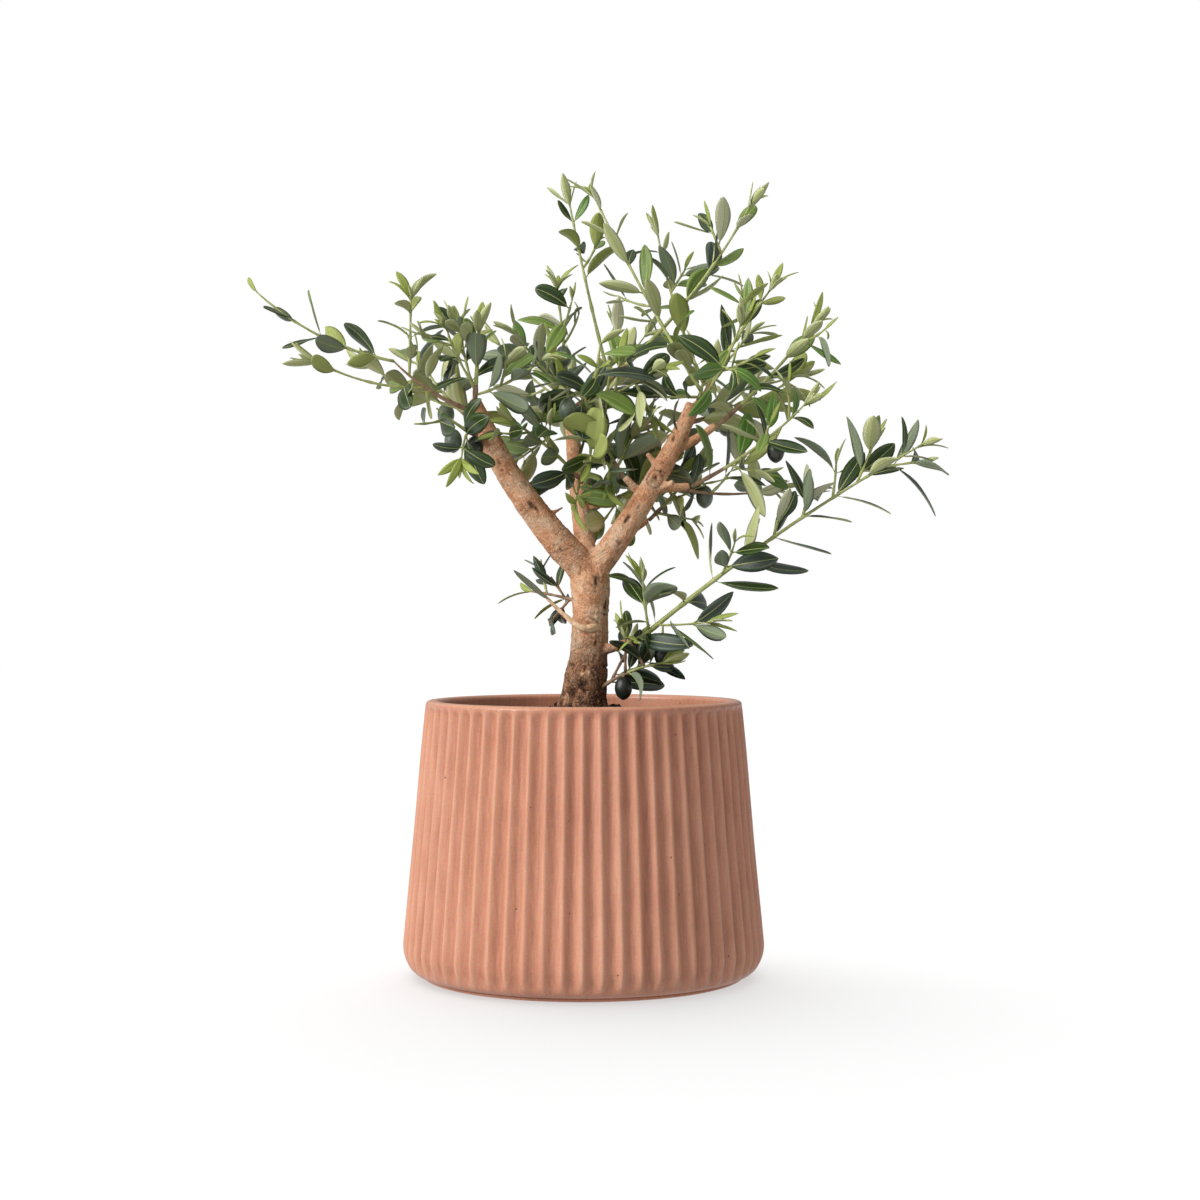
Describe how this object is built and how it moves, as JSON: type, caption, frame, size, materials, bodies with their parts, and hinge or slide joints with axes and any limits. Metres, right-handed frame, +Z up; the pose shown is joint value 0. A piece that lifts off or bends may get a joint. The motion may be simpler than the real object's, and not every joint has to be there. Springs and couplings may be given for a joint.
{
  "type": "potted olive bonsai",
  "caption": "Small olive tree with a forked trunk, open leafy shoots and green and grey olives, in a round ribbed terracotta pot that widens towards its foot.",
  "frame": {"origin": "middle of the pot's flat underside, on the pot's axis", "axes": "+Z up along the pot's axis; +X to the right and -Y to the front, as the plant is seen from its front"},
  "size_m": [0.4164, 0.2649, 0.5018],
  "materials": {
    "terracotta": "matte",
    "soil": "matte",
    "bark": "matte",
    "dead_wood": "matte",
    "foliage": "satin"
  },
  "bodies": {
    "root": {"pot": "terracotta", "soil": "soil", "trunk": "bark", "bough_left": "bark", "bough_right": "bark", "bough_rear": "bark", "bough_right_side": "bark", "bough_right_low": "bark", "bough_left_low": "bark", "bough_inner_left": "bark", "bough_inner_right": "bark", "bough_centre_low": "bark", "bough_right_back": "bark", "bough_low": "bark", "snag": "dead_wood", "foliage_left_sweep": "foliage", "foliage_left_crown": "foliage", "foliage_left_low": "foliage", "foliage_left_back": "foliage", "foliage_centre_spire": "foliage", "foliage_centre_top": "foliage", "foliage_centre_front": "foliage", "foliage_centre_back": "foliage", "foliage_right_top": "foliage", "foliage_right_fan": "foliage", "foliage_right_side": "foliage", "foliage_right_low": "foliage", "foliage_right_far": "foliage", "foliage_right_back": "foliage", "foliage_inner_left": "foliage", "foliage_centre_low": "foliage", "foliage_inner_right": "foliage", "foliage_right_inner": "foliage", "foliage_low_sweep": "foliage", "foliage_low_olives": "foliage", "foliage_trunk_left": "foliage"}
  },
  "joints": []
}
